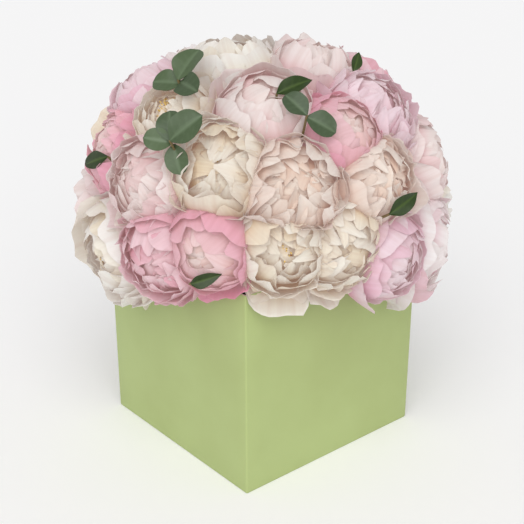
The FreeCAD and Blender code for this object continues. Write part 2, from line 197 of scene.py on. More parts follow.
# %% Finishes of the box and what stands in it
green_card, tree, shader = finish("green_card", 0.52, Specular_IOR_Level=0.35)
paint(tree, shader, two_tone(tree, noise(tree, 14.0, 5.0), (162, 175, 115), (167, 181, 121)))
tiny_bumps(tree, shader, noise(tree, 900.0, 3.0), 0.10, 0.2 * MM)

white_board, tree, shader = finish("white_board", 0.8)
paint(tree, shader, two_tone(tree, noise(tree, 60.0), (222, 218, 206), (234, 231, 221)))
tiny_bumps(tree, shader, noise(tree, 700.0), 0.15, 0.2 * MM)

brown_board, tree, shader = finish("brown_board", 0.85)
fibres = noise(tree, 40.0, 6.0, stretch=(1, 1, 9))
paint(tree, shader, two_tone(tree, fibres, (150, 118, 84), (178, 146, 108)))
tiny_bumps(tree, shader, noise(tree, 500.0), 0.2, 0.3 * MM)

black_liner, tree, shader = finish("black_liner", 0.38, (30, 32, 31))
tiny_bumps(tree, shader, noise(tree, 350.0, 2.0), 0.08, 0.3 * MM)

green_foam, tree, shader = finish("green_foam", 0.95)
cells = noise(tree, 420.0, 3.0)
paint(tree, shader, two_tone(tree, cells, (34, 66, 40), (66, 104, 62)))
tiny_bumps(tree, shader, cells, 0.8, 0.8 * MM)


def dress(name, material):
    """Give a measured piece its finish."""
    nodes[name].data.materials.clear()
    nodes[name].data.materials.append(material)


for name in nodes:
    if name.endswith("base_flap"):
        dress(name, green_card)
dress("carton_glue_flap", white_board)
dress("riser_sleeve", brown_board)
dress("liner_tray", black_liner)
dress("foam_brick_left", green_foam)
dress("foam_brick_right", green_foam)
print("dressed flaps, riser, tray and foam")

# %% [markdown]
# ## The card sleeve
# Four walls of one sheet of card are folded round and glued. A real fold is never a knife edge, so the
# four upright corners are turned on a small radius, the foot is rolled in a little where the base
# flaps hinge, and each panel bows outward by half a millimetre. Four bevelled boards could stand for the
# walls; one sheet that goes round is better, since the corners then turn without a seam. The outside is
# green; the inside and the cut top edge are bare board.

# %% Build the sleeve as one sheet
walls = ["carton_front_wall", "carton_right_wall", "carton_back_wall", "carton_left_wall"]
half_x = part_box("carton_right_wall")[1].x
half_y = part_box("carton_back_wall")[1].y
foot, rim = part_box("carton_front_wall")[0].z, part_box("carton_front_wall")[1].z
card = half_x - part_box("carton_right_wall")[0].x
CORNER = 1.5 * MM
INNER_CORNER = 0.3 * MM
BOW = 0.5 * MM
PANEL_POINTS = 13
CORNER_TURNS = (22.5, 45.0, 67.5)
FOOT_ROLL = [(0.8 * MM, 0.0), (0.25 * MM, 0.5 * MM)]
STRAIGHT_FROM = 2 * MM
LEVELS = 14
FOLD_ANGLE = math.radians(50)


def sleeve_ring(inset, height, corner):
    """One level loop round the box: straight panels that bow a little, and rounded corners."""
    loop = []
    lift = math.sin(math.pi * min(1.0, max(0.0, (height - foot) / (rim - foot))))
    for side in range(4):
        turn = side * math.pi / 2 - math.pi / 2
        out, along = (half_y, half_x) if side % 2 == 0 else (half_x, half_y)
        out, along = out - inset, along - inset
        points = []
        for share in np.linspace(-1, 1, PANEL_POINTS):
            bow = BOW * lift * (1 - share ** 2)
            points.append((out + bow, share * (along - corner)))
        for step in CORNER_TURNS:
            points.append((out - corner + corner * math.cos(math.radians(step)),
                           along - corner + corner * math.sin(math.radians(step))))
        for outward, sideways in points:
            loop.append((outward * math.cos(turn) - sideways * math.sin(turn),
                         outward * math.sin(turn) + sideways * math.cos(turn), height))
    return loop


levels = np.linspace(foot + STRAIGHT_FROM, rim, LEVELS)
outer_rings = [sleeve_ring(inset, foot + height, CORNER) for inset, height in FOOT_ROLL]
outer_rings += [sleeve_ring(0.0, level, CORNER) for level in levels]
inner_rings = [sleeve_ring(card, level, INNER_CORNER) for level in list(levels[::-1]) + [foot]]
rings = outer_rings + inner_rings
count = len(rings[0])
sleeve_points = [point for ring in rings for point in ring]
sleeve_faces, sleeve_sides = [], []
for level in range(len(rings)):
    here, above = level * count, (level + 1) % len(rings) * count
    for step in range(count):
        after = (step + 1) % count
        sleeve_faces.append((here + step, here + after, above + after, above + step))
        sleeve_sides.append(0 if level < len(outer_rings) - 1 else 1)
sleeve_mesh = bpy.data.meshes.new("card_sleeve")
sleeve_mesh.from_pydata(sleeve_points, [], sleeve_faces)
sleeve_mesh.materials.append(green_card)
sleeve_mesh.materials.append(white_board)
sleeve_mesh.polygons.foreach_set("material_index", sleeve_sides)
sleeve_mesh.shade_smooth()
sleeve_mesh.set_sharp_from_angle(angle=FOLD_ANGLE)
sleeve = bpy.data.objects.new("card_sleeve", sleeve_mesh)
bpy.context.scene.collection.objects.link(sleeve)
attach(sleeve, "carton")
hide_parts(*walls)
print("card sleeve", round(2 * half_x / MM), "by", round(2 * half_y / MM), "by", round(rim / MM), "mm")

# %% [markdown]
# ## Where the flowers sit
# A florist packs the heads into a full dome. Each bloom is planned by its heading round the box, its
# height on the dome (both in degrees), its reach out from the middle, its radius in millimetres, the
# kind of bloom and its colouring. The blooms could be scattered at random, but the front half follows
# the photograph bloom by bloom, so they are chosen one at a time; the back half goes on in the same mix.

# %% The plan of the blooms
BLOOMS = [
    ("peony_rim_01", 257, -2, 0.93, 47, "cup", "ivory"),
    ("peony_rim_02", 287, 2, 0.98, 41, "ruffle", "rose"),
    ("peony_rim_03", 304, 5, 0.98, 41, "ball", "pink_rim"),
    ("peony_rim_04", 327, 6, 0.97, 42, "cup", "cream"),
    ("peony_rim_05", 346, 5, 0.96, 42, "ruffle", "cream"),
    ("peony_rim_06", 4, 0, 1.00, 42, "ball", "lilac"),
    ("peony_rim_07", 31, -2, 0.98, 48, "cup", "flushed_white"),
    ("peony_rim_08", 62, 0, 1.03, 43, "ruffle", "ivory"),
    ("peony_rim_09", 94, 0, 0.98, 43, "ball", "blush"),
    ("peony_rim_10", 126, 0, 0.98, 45, "cup", "cream"),
    ("peony_rim_11", 158, 0, 0.98, 43, "ruffle", "rose"),
    ("peony_rim_12", 190, 0, 0.98, 43, "ball", "peach"),
    ("peony_rim_13", 221, 1, 0.98, 43, "ruffle", "blush"),
    ("peony_lower_01", 279, 22, 0.97, 42, "ruffle", "blush"),
    ("peony_lower_02", 306, 30, 0.98, 46, "cup", "cream"),
    ("peony_lower_03", 330, 23, 0.98, 46, "ruffle", "peach"),
    ("peony_lower_04", 0, 23, 0.98, 43, "ruffle", "peach"),
    ("peony_lower_05", 40, 21, 0.98, 45, "ball", "blush"),
    ("peony_lower_06", 243, 26, 0.91, 41, "ruffle", "pink_rim"),
    ("peony_lower_07", 72, 27, 0.98, 43, "ball", "lilac"),
    ("peony_lower_08", 107, 27, 0.98, 43, "ruffle", "ivory"),
    ("peony_lower_09", 141, 27, 0.98, 43, "ball", "lilac"),
    ("peony_lower_10", 175, 27, 0.98, 43, "cup", "flushed_white"),
    ("peony_lower_11", 209, 27, 0.98, 43, "ball", "cream"),
    ("peony_upper_01", 322, 54, 0.98, 44, "ball", "blush"),
    ("peony_upper_02", 353, 41, 0.98, 41, "ball", "pink_rim"),
    ("peony_upper_03", 21, 48, 0.98, 43, "ruffle", "lilac"),
    ("peony_upper_04", 274, 50, 0.98, 35, "cup", "cream"),
    ("peony_upper_05", 230, 51, 0.98, 42, "ball", "lilac"),
    ("peony_upper_06", 190, 57, 0.98, 42, "ruffle", "flushed_white"),
    ("peony_upper_07", 152, 57, 0.98, 42, "cup", "blush"),
    ("peony_upper_08", 112, 57, 0.98, 44, "ruffle", "blush"),
    ("peony_upper_09", 66, 55, 0.98, 42, "ball", "rose"),
    ("peony_crown_01", 250, 82, 0.98, 48, "cup", "ivory"),
    ("peony_crown_02", 40, 76, 0.98, 43, "ruffle", "blush"),
]
bloom_radius = {name: radius * MM for name, _, _, _, radius, _, _ in BLOOMS}
print(len(BLOOMS), "blooms planned")

# %% [markdown]
# ## The dome
# The dome is a ball squared up a little, so it fills the square box to the corners: the lower the
# fullness, the squarer it gets. A stretched sphere would leave the corners bare. It carries the middles
# of the flowers, and every flower gets its own axes there: sideways, up the dome and outward.

# %% Places on the dome
OVERHANG = 41 * MM
DOME_SEAT = 22 * MM
DOME_RISE = 138 * MM
DOME_FULLNESS = 0.80


def heading(azimuth, elevation):
    """A unit vector from an azimuth counted from +X and an elevation, in degrees."""
    turn, lift = math.radians(azimuth), math.radians(elevation)
    return np.array((math.cos(lift) * math.cos(turn), math.cos(lift) * math.sin(turn), math.sin(lift)))


def dome_point(azimuth, elevation, reach=1.0):
    """A point on the dome that carries the middles of the flowers."""
    way = heading(azimuth, elevation)
    flat = max(math.hypot(way[0], way[1]), 1e-9)
    spread = reach * flat ** DOME_FULLNESS / flat
    lift = math.copysign(abs(way[2]) ** DOME_FULLNESS, way[2])
    return np.array(((half_x + OVERHANG) * spread * way[0], (half_y + OVERHANG) * spread * way[1],
                     rim + DOME_SEAT + DOME_RISE * lift))


def frame_at(way):
    """Axes with X sideways, Y up the dome and Z outward, as the columns of a matrix."""
    sideways = np.cross((0, 0, 1), way)
    sideways /= np.linalg.norm(sideways)
    return np.column_stack((sideways, np.cross(way, sideways), way))


middles = {name: dome_point(azimuth, elevation, reach) for name, azimuth, elevation, reach, *_ in BLOOMS}
print("the dome stands", round((DOME_SEAT + DOME_RISE) / MM), "mm above the rim")

# %% [markdown]
# ## Petal colour
# A garden peony is never one colour. Its petals pale towards the edge and deepen towards the claw,
# and the inner petals are warmer than the guards. The deeper claw tones are partly the petals' own
# colour and partly painted warm shade, because the claws lie deep in the gaps between petals. Each
# colouring holds four tones: the edge and claw of the guard petals, and the edge and claw of the
# innermost ones. A gradient node could mix them; here they are painted on the vertices, because each
# petal then pales in its own way. The shader adds fine veins along every petal, and a faint warm glow
# that stands for the light wandering between petals.

# %% Colourings and the petal finish
# Claw tones are partly the petals' own colour and partly painted warm shade for the deep gaps.
COLOURINGS = {
    "ivory": ((248, 251, 248), (246, 238, 210), (250, 250, 240), (240, 216, 150)),
    "cream": ((247, 246, 237), (243, 222, 180), (249, 244, 226), (236, 202, 132)),
    "peach": ((247, 238, 231), (240, 190, 164), (249, 238, 223), (236, 182, 142)),
    "blush": ((248, 240, 239), (236, 164, 178), (249, 236, 231), (229, 150, 158)),
    "rose": ((246, 206, 220), (228, 96, 142), (248, 222, 226), (214, 84, 130)),
    "pink_rim": ((240, 150, 186), (241, 184, 200), (249, 240, 231), (240, 186, 170)),
    "lilac": ((247, 224, 236), (232, 140, 184), (248, 232, 238), (226, 132, 170)),
    "flushed_white": ((249, 249, 250), (230, 112, 162), (250, 245, 244), (216, 84, 136)),
}
PETAL_SHADE = 0.67
PETAL_GLOW = (1.0, 0.74, 0.68, 1.0)
VEIN_STRETCH = (9.0, 0.9, 40.0)


def painted_tint(tree):
    """The colour painted on the vertices."""
    tint = tree.nodes.new("ShaderNodeAttribute")
    tint.attribute_name = "tint"
    return tint.outputs["Color"]


petal_finish, tree, shader = finish("petals", 0.62, Specular_IOR_Level=0.25, Subsurface_Weight=0.20,
                                    Subsurface_Radius=(1.0, 0.95, 0.90), Subsurface_Scale=0.002,
                                    Sheen_Weight=0.08, Sheen_Roughness=0.5,
                                    Emission_Color=PETAL_GLOW, Emission_Strength=0.11)
tint = painted_tint(tree)
petal_place = tree.nodes.new("ShaderNodeAttribute")
petal_place.attribute_name = "petal_place"
vein_space = tree.nodes.new("ShaderNodeMapping")
vein_space.inputs["Scale"].default_value = VEIN_STRETCH
tree.links.new(petal_place.outputs["Vector"], vein_space.inputs["Vector"])
veins = tree.nodes.new("ShaderNodeTexNoise")
veins.inputs["Scale"].default_value = 1.0
veins.inputs["Detail"].default_value = 5.0
tree.links.new(vein_space.outputs["Vector"], veins.inputs["Vector"])
vein_shade = two_tone(tree, veins.outputs["Fac"], (245, 238, 236), (255, 255, 255), span=(0.3, 0.62))
petal_mix = tree.nodes.new("ShaderNodeMix")
petal_mix.data_type = "RGBA"
petal_mix.blend_type = "MULTIPLY"
petal_mix.inputs["Factor"].default_value = 1.0
tree.links.new(tint, petal_mix.inputs["A"])
tree.links.new(vein_shade, petal_mix.inputs["B"])
paint(tree, shader, petal_mix.outputs["Result"])
tiny_bumps(tree, shader, veins.outputs["Fac"], 0.22, 0.5 * MM)
print(len(COLOURINGS), "colourings")

# %% [markdown]
# ## Greens and stamens
# Stems, sepals and leaves are fresh and a little glossy; stamens are dry and dull. One finish could do
# for both, but the gloss tells them apart. Their colours are painted on the vertices too.

# %% Finishes of the greens and the stamens
SEPAL_GREEN = linear(104, 124, 62)
STEM_GREEN = linear(92, 116, 58)
TWIG_BROWN = linear(112, 96, 62)
GOLD = linear(240, 206, 126)

green_finish, tree, shader = finish("fresh_greens", 0.42, Specular_IOR_Level=0.4)
paint(tree, shader, painted_tint(tree))
tiny_bumps(tree, shader, noise(tree, 320.0, 4.0), 0.25, 0.4 * MM)

stamen_finish, tree, shader = finish("stamens", 0.7)
paint(tree, shader, painted_tint(tree))
tiny_bumps(tree, shader, noise(tree, 900.0, 3.0), 0.3, 0.3 * MM)
PETALS, GREENS, STAMENS = range(3)
soft_finishes = (petal_finish, green_finish, stamen_finish)
print([material.name for material in soft_finishes])

# %% [markdown]
# ## How one petal is shaped
# A petal is a patch of a ball: it starts narrow at the claw under the bloom, climbs over the widest
# part and ends at the tip. Two angles describe it, one along the petal and one across, and the ball's
# radius is then nudged: in at the claw, out where the petal flares, up and down where the edge ruffles.
# Each ring of petals has its own slightly smaller ball, so petals nest in one another. A sculpted petal
# could be copied about, but a formula gives every petal its own wave and tear. Every petal is a closed
# thin sheet, a little thinner at the edge.

# %% The petal maker
THICKNESS = 0.55 * MM
EDGE_THINNING = 0.7
SHOULDER_DROP = 0.30
CLEFT_WIDTH = 0.2
CLAW_TUCK = 0.10
CLAW_SHARE = 0.28
FRILL_SHARE = 0.35
TOOTH_BLUR = (0.12, 0.24, 0.28, 0.24, 0.12)
BROAD_GRID = (12, 17)
NARROW_GRID = (12, 13)


def sheet_faces(rows, columns):
    """Faces of a closed thin sheet: front grid, back grid and the rim between them."""
    grid = np.arange(rows * columns).reshape(rows, columns)
    front = np.stack((grid[:-1, :-1], grid[:-1, 1:], grid[1:, 1:], grid[1:, :-1]), -1).reshape(-1, 4)
    back = front[:, ::-1] + rows * columns
    edge = np.concatenate((grid[0, :-1], grid[:-1, -1], grid[-1, :0:-1], grid[:0:-1, 0]))
    after = np.roll(edge, -1)
    border = np.stack((after, edge, edge + rows * columns, after + rows * columns), -1)
    return np.concatenate((front, back, border))


def petal(rng, radius, tip, width, start=-70.0, flare=0.0, curl=0.0, ruffle=0.0, jag=0.0, cleft=0.0,
          grid=BROAD_GRID):
    """One petal as points of a closed sheet, with its own place values: across, along."""
    rows, columns = grid
    finer = 1 - (1 - np.linspace(0, 1, rows)) ** 1.4
    along, across = np.meshgrid(finer, np.linspace(-1, 1, columns), indexing="ij")
    teeth = np.convolve(rng.normal(size=columns + len(TOOTH_BLUR) - 1), TOOTH_BLUR, "valid")
    rounded = 1 - SHOULDER_DROP * np.abs(across) ** 2.8 * along ** 1.5
    torn = 1 + jag * teeth * along ** 4
    notched = 1 - cleft * np.exp(-(across / CLEFT_WIDTH) ** 2) * along ** 4
    climb = np.radians(start + (tip - start) * (along * rounded * torn * notched))
    breadth = CLAW_SHARE + (1 - CLAW_SHARE) * np.sin(np.pi * (0.05 + 0.64 * along))
    swing = across * np.radians(width) * breadth
    phases = rng.uniform(0, 2 * math.pi, 3)
    slow = np.sin(across * rng.uniform(3, 5) + phases[0])
    quick = np.sin(across * rng.uniform(6, 9) + phases[1])
    frill = np.sin(across * rng.uniform(10, 14) + phases[2])
    wave = (0.6 * slow + 0.4 * quick) * along ** 2.2 * (0.35 + 0.65 * np.abs(across))
    reach = (1 - CLAW_TUCK * (1 - along) ** 2 + flare * along ** 2 + curl * along ** 6
             + ruffle * wave + FRILL_SHARE * ruffle * frill * along ** 7)
    way = np.stack((np.cos(swing) * np.cos(climb), np.sin(swing), np.cos(swing) * np.sin(climb)), -1)
    skin = THICKNESS * (1 - EDGE_THINNING * np.maximum(along, np.abs(across)) ** 6)
    outer = way * (radius * reach)[..., None]
    inner = way * (radius * reach - skin)[..., None]
    points = np.concatenate((outer.reshape(-1, 3), inner.reshape(-1, 3)))
    place = np.stack((np.tile(across.ravel(), 2), np.tile(along.ravel(), 2)), -1)
    return points, place


print("one broad petal has", len(sheet_faces(*BROAD_GRID)), "faces")

# %% [markdown]
# ## Rods, and one mesh for each flower
# Stems, twigs and stamens are plain round rods. A cut flower is one piece, so its petals, sepals,
# stamens and stem are gathered in a heap and become one mesh, with a tint and a place on every point.
# Joining many small objects would do the same, far more slowly.

# %% Rods and heaps
CREASE_ANGLE = math.radians(60)


def tube(start, end, start_radius, end_radius, sides):
    """A straight round rod with flat ends."""
    run = end - start
    axes = frame_at(run / np.linalg.norm(run) + np.array((1e-6, 0, 0)))
    turns = np.linspace(0, 2 * math.pi, sides, endpoint=False)
    circle = np.outer(np.cos(turns), axes[:, 0]) + np.outer(np.sin(turns), axes[:, 1])
    points = np.concatenate((start + circle * start_radius, end + circle * end_radius))
    steps = np.arange(sides)
    after = np.roll(steps, -1)
    quads = [tuple(quad) for quad in np.stack((steps, after, after + sides, steps + sides), -1)]
    return points, quads + [tuple(steps[::-1]), tuple(steps + sides)]


class Heap:
    """Gathers sheets and rods into one mesh with a tint and a place on every point."""

    def __init__(self):
        self.points, self.tints, self.places, self.faces, self.finishes = [], [], [], [], []
        self.count = 0

    def add(self, points, faces, tint, finish_number, place=None):
        """Add one sheet or rod in one of the soft finishes."""
        self.faces.extend([tuple(int(corner) + self.count for corner in face) for face in faces])
        self.finishes.extend([finish_number] * len(faces))
        self.points.append(points)
        self.tints.append(np.broadcast_to(tint, (len(points), 3)))
        self.places.append(np.zeros((len(points), 3)) if place is None else place)
        self.count += len(points)

    def piece(self, name, body, node, slot):
        """Turn the heap into one object that stands for a measured piece."""
        mesh = bpy.data.meshes.new(name)
        mesh.from_pydata(np.concatenate(self.points).tolist(), [], self.faces)
        for material in soft_finishes:
            mesh.materials.append(material)
        mesh.polygons.foreach_set("material_index", self.finishes)
        tints = np.column_stack((np.concatenate(self.tints), np.ones(self.count)))
        places = np.concatenate(self.places)
        tint = mesh.attributes.new("tint", "FLOAT_COLOR", "POINT")
        tint.data.foreach_set("color", tints.ravel())
        petal_place = mesh.attributes.new("petal_place", "FLOAT_VECTOR", "POINT")
        petal_place.data.foreach_set("vector", places.ravel())
        mesh.shade_smooth()
        mesh.set_sharp_from_angle(angle=CREASE_ANGLE)
        piece = bpy.data.objects.new(name, mesh)
        bpy.context.scene.collection.objects.link(piece)
        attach(piece, body)
        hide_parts(node)


slot_of = {part["node"]: part["material_slot"] for part in frame["record"]["subparts"]}
print(len(slot_of), "pieces have a slot")

# %% [markdown]
# ## Three kinds of bloom
# A peony in bud-ball stage is smooth and shut, with broad petals wrapped over one another. An open cup
# lies back on its guard petals and has golden stamens at its heart. A ruffle bloom has a collar of
# guards and a heart of many narrow torn petals. Three whole flowers could be modelled and copied; rings
# are used instead, so that no two flowers are alike. Each kind is a list of rings, from the guards
# inward: how many petals, the ring's share of the radius, the height of the tips and the half width in
# degrees, then flare, curl, ruffle, torn edge and cleft.

# %% Rings of the three kinds
RINGS = {
    "ball": [
        (5, 1.02, 20, 54, 0.14, 0.10, 0.070, 0.04, 0.02),
        (6, 0.98, 42, 50, 0.04, 0.06, 0.060, 0.05, 0.05),
        (6, 0.94, 56, 48, 0.00, 0.04, 0.060, 0.06, 0.08),
        (6, 0.89, 68, 46, 0.00, 0.03, 0.065, 0.08, 0.08),
        (6, 0.84, 79, 43, 0.00, 0.02, 0.070, 0.09, 0.08),
        (6, 0.78, 90, 40, 0.00, 0.00, 0.075, 0.10, 0.08),
        (6, 0.72, 101, 36, 0.00, 0.00, 0.080, 0.10, 0.10),
    ],
    "cup": [
        (6, 1.06, 14, 54, 0.20, 0.10, 0.080, 0.05, 0.03),
        (7, 1.00, 36, 50, 0.10, 0.08, 0.080, 0.08, 0.05),
        (7, 0.95, 50, 46, 0.05, 0.07, 0.085, 0.10, 0.08),
        (7, 0.88, 61, 43, 0.03, 0.06, 0.095, 0.12, 0.10),
        (8, 0.80, 70, 38, 0.00, 0.06, 0.105, 0.13, 0.12),
        (8, 0.71, 79, 36, 0.00, 0.05, 0.115, 0.14, 0.12),
        (7, 0.62, 88, 36, 0.00, 0.04, 0.120, 0.14, 0.12),
    ],
    "ruffle": [
        (6, 1.05, 16, 52, 0.20, 0.10, 0.090, 0.06, 0.04),
        (7, 0.99, 38, 48, 0.08, 0.08, 0.090, 0.09, 0.10),
        (8, 0.95, 52, 41, 0.04, 0.07, 0.100, 0.12, 0.16),
        (8, 0.90, 63, 39, 0.02, 0.06, 0.110, 0.13, 0.18),
        (8, 0.84, 74, 37, 0.00, 0.05, 0.120, 0.14, 0.18),
        (8, 0.78, 85, 36, 0.00, 0.04, 0.125, 0.14, 0.16),
        (7, 0.71, 96, 32, 0.00, 0.02, 0.125, 0.14, 0.15),
        (5, 0.64, 106, 28, 0.00, 0.00, 0.120, 0.14, 0.15),
    ],
}
NARROW = 35
FLATNESS = {"ball": 0.96, "cup": 0.90, "ruffle": 0.96}
HEART = {"ball": 0.60, "cup": 0.46, "ruffle": 0.52}
print({kind: sum(ring[0] for ring in rings) for kind, rings in RINGS.items()}, "petals by kind")

# %% [markdown]
# ## The petals of one bloom
# Real petals never quite repeat, so every petal draws its own size, lean, flare and paling. The numbers
# come from a generator with a fixed seed: the flowers vary, yet come out the same on every run. A plain
# round heart closes the gaps between the innermost petals.

# %% Petals and heart of one bloom
BROAD_FACES = sheet_faces(*BROAD_GRID)
NARROW_FACES = sheet_faces(*NARROW_GRID)
ABOUT_X, ABOUT_Y, ABOUT_Z = (1, 2), (0, 2), (0, 1)
HEART_SIDES = 12
HEART_LIFTS = (-50, -15, 15, 50)


def blend(low, high, share):
    """A value part of the way from low to high."""
    return low + (high - low) * share


def ease(low, high, value):
    """A soft step from 0 at low to 1 at high."""
    step = np.clip((value - low) / (high - low), 0, 1)
    return step * step * (3 - 2 * step)


def turned(points, degrees, plane):
    """Points turned in the plane of two axes, from the first axis towards the second."""
    turn = math.radians(degrees)
    first, second = plane
    spin = np.eye(3)
    spin[first, first] = spin[second, second] = math.cos(turn)
    spin[first, second] = -math.sin(turn)
    spin[second, first] = math.sin(turn)
    return points @ spin.T


def bloom_petals(rng, radius, kind, colouring):
    """Yield every petal of one bloom in the bloom's own frame: points, faces, tint and place."""
    guard_edge, guard_claw, heart_edge, heart_claw = (linear(*tone) for tone in COLOURINGS[colouring])
    rings = RINGS[kind]
    for depth, (count, share, tip, width, flare, curl, ruffle, jag, cleft) in enumerate(rings):
        inward = depth / (len(rings) - 1)
        first = rng.uniform(0, 360)
        grid, faces = (NARROW_GRID, NARROW_FACES) if width < NARROW else (BROAD_GRID, BROAD_FACES)
        for number in range(count):
            points, place = petal(rng, radius * share * rng.uniform(0.96, 1.03), tip + rng.uniform(-9, 9),
                                  width * rng.uniform(0.85, 1.12), flare=flare * rng.uniform(0.3, 1.7),
                                  curl=curl * rng.uniform(0.0, 1.6), ruffle=ruffle, jag=jag,
                                  cleft=cleft * rng.uniform(0, 1.6), grid=grid)
            points = turned(points, rng.uniform(-1, 1) * (4 + 18 * inward), ABOUT_X)
            points[:, 2] *= FLATNESS[kind]
            points = turned(points, first + 360 * (number + rng.uniform(-0.18, 0.18)) / count, ABOUT_Z)
            # The claw tone is partly the petal's own colour and partly painted warm shade: it holds over
            # the lower petal, deep in the gaps, and pales to the edge.
            claw = blend(guard_claw, heart_claw, inward)
            edge = blend(guard_edge, heart_edge, inward) * rng.uniform(0.95, 1.03)
            edge = blend(edge, claw, 0.45 * rng.uniform(0, 1) ** 3)
            paling = ease(rng.uniform(0.44, 0.64), rng.uniform(0.88, 1.0), place[:, 1])[:, None]
            tint = PETAL_SHADE * blend(claw, edge, paling)
            mark = np.full((len(points), 1), rng.uniform(0, 1))
            yield points, faces, tint, np.column_stack((place, mark))


def heart_ball(radius):
    """A plain round heart that closes the gaps between the innermost petals."""
    points = [(0, 0, -radius)]
    for lift in np.radians(HEART_LIFTS):
        flat = radius * math.cos(lift)
        for turn in np.linspace(0, 2 * math.pi, HEART_SIDES, endpoint=False):
            points.append((flat * math.cos(turn), flat * math.sin(turn), radius * math.sin(lift)))
    points.append((0, 0, radius))
    top = len(points) - 1
    last_row = top - HEART_SIDES
    faces = []
    for step in range(HEART_SIDES):
        after = (step + 1) % HEART_SIDES
        faces.append((0, 1 + after, 1 + step))
        faces.append((top, last_row + step, last_row + after))
        for row in range(1, last_row, HEART_SIDES):
            above = row + HEART_SIDES
            faces.append((row + step, row + after, above + after, above + step))
    return np.array(points), faces


print("broad petals from", NARROW, "degrees, hearts with", len(heart_ball(1.0)[1]), "faces")

# %% [markdown]
# ## Packing the blooms
# Soft heads in a full box give way to one another. A cloth simulation could press them; a rule is
# quicker and always ends the same: where a petal would pass the plane halfway to a neighbouring bloom,
# it is squeezed back towards its own middle. Petals over the rim may hang down outside the card, so any
# point that would be inside the carton is moved out over the edge or past the wall.

# %% Press back from neighbours and out of the card
CARD_CLEARANCE = 0.8 * MM
PRESS = 0.66
NEIGHBOURLY = 1.25


def pressed(points, name):
    """Squeeze a bloom's points, given from its own middle, back from its neighbours."""
    for other, middle in middles.items():
        apart = middle - middles[name]
        distance = np.linalg.norm(apart)
        together = bloom_radius[name] + bloom_radius[other]
        if other == name or distance > NEIGHBOURLY * together:
            continue
        limit = distance * bloom_radius[name] / together
        ahead = points @ (apart / distance)
        over = ahead > limit
        points[over] *= (1 - PRESS * (1 - limit / ahead[over]))[:, None]
    return points


def outside_card(points):
    """Move points that are inside the carton out by the shortest way: over the rim or past a wall."""
    depth = np.stack((half_x + CARD_CLEARANCE - np.abs(points[:, 0]),
                      half_y + CARD_CLEARANCE - np.abs(points[:, 1]),
                      rim + CARD_CLEARANCE - points[:, 2]), -1)
    inside = (depth > 0).all(axis=1)
    shortest = depth.argmin(axis=1)
    for axis in range(3):
        chosen = inside & (shortest == axis)
        way = np.sign(points[chosen, axis]) if axis < 2 else 1.0
        points[chosen, axis] += way * depth[chosen, axis]
    return points


neighbours = sum(np.linalg.norm(middles[one] - middles[other]) < bloom_radius[one] + bloom_radius[other]
                 for one in middles for other in middles if one < other)
print(neighbours, "pairs of blooms press on each other")

# %% [markdown]
# ## Making the blooms
# Each bloom is built in its own frame, turned to face out of the dome and pressed into its place; rim
# blooms nod a little. Stamens in the open cups, four sepals and a stem down into the foam finish it.
# Stems could stop under the flowers, where nobody looks, but the bouquet lifts out of the box and then
# they count.

# %% Build all blooms
BLOOM_SEED = 100
RIM_NOD = 6.0
STAMEN_COUNT = 36
SEPAL_GRID = (8, 7)
SEPAL_FACES = sheet_faces(*SEPAL_GRID)
SEPAL_TURNS = (20, 110, 195, 290)
STEM_SHARE = {"rim": 0.50, "lower": 0.32, "upper": 0.20, "crown": 0.12}
STEM_SUNK = 20 * MM
UPRIGHT_SUNK = 28 * MM
STEM_RADIUS = 3 * MM
STEM_TOP_RADIUS = 3.2 * MM
STEM_SIDES = 12
foam_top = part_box("foam_brick_left")[1].z


def stamens(rng, radius):
    """Golden threads with a small anther on each, standing in the heart of an open bloom."""
    for _ in range(STAMEN_COUNT):
        lean, turn = rng.uniform(4, 34), rng.uniform(0, 360)
        way = heading(turn, 90 - lean)
        top = way * radius * rng.uniform(0.46, 0.60)
        yield tube(way * radius * 0.10, top, 0.35 * MM, 0.25 * MM, 4)
        yield tube(top, top + way * 2.6 * MM, 0.85 * MM, 0.55 * MM, 5)


for number, (name, azimuth, elevation, reach, radius_mm, kind, colouring) in enumerate(BLOOMS):
    rng = np.random.default_rng(BLOOM_SEED + number)
    group = name.split("_")[1]
    nod = RIM_NOD if group == "rim" else 0.0
    axes = frame_at(heading(azimuth + rng.uniform(-5, 5), elevation - nod))
    middle, radius = middles[name], radius_mm * MM
    heap = Heap()
    for points, faces, tint, place in bloom_petals(rng, radius, kind, colouring):
        heap.add(outside_card(pressed(points @ axes.T, name) + middle), faces, tint, PETALS, place)
    points, faces = heart_ball(radius * HEART[kind])
    heap.add(points @ axes.T + middle, faces, linear(*COLOURINGS[colouring][3]), PETALS)
    if kind == "cup":
        for points, faces in stamens(rng, radius):
            heap.add(points @ axes.T + middle, faces, GOLD * rng.uniform(0.75, 1.0), STAMENS)
    for turn in SEPAL_TURNS:
        points, _ = petal(rng, radius, tip=-18, width=30, start=-80, grid=SEPAL_GRID)
        points = pressed(turned(points, turn, ABOUT_Z) @ axes.T, name)
        heap.add(outside_card(points + middle), SEPAL_FACES, SEPAL_GREEN, GREENS)
    stem_top = middle - axes[:, 2] * radius * 0.90
    upright = max(0.0, axes[2, 2])
    stem_foot = np.array((middle[0] * STEM_SHARE[group], middle[1] * STEM_SHARE[group],
                          foam_top - STEM_SUNK - UPRIGHT_SUNK * upright))
    points, faces = tube(stem_foot, stem_top, STEM_RADIUS, STEM_TOP_RADIUS, STEM_SIDES)
    heap.add(points, faces, STEM_GREEN, GREENS)
    heap.piece("bloom_" + name, "arrangement", name, slot_of[name])
print("blooms made:", len(BLOOMS))

# %% [markdown]
# ## Where the leaves show
# A few sprigs of gum and single peony leaves are pushed in between the heads. Each is planned by the
# heading and height of its twig on the dome, then by the way its leaves face (azimuth and elevation)
# and how far its tip is bent, in millimetres sideways, up and outward as seen from that way. Then come
# its leaves, each with a turn, a lift and a length in millimetres. A leaf that simply stood on the dome
# would be lost between the heads; the bend brings it out to where it shows in the photograph.

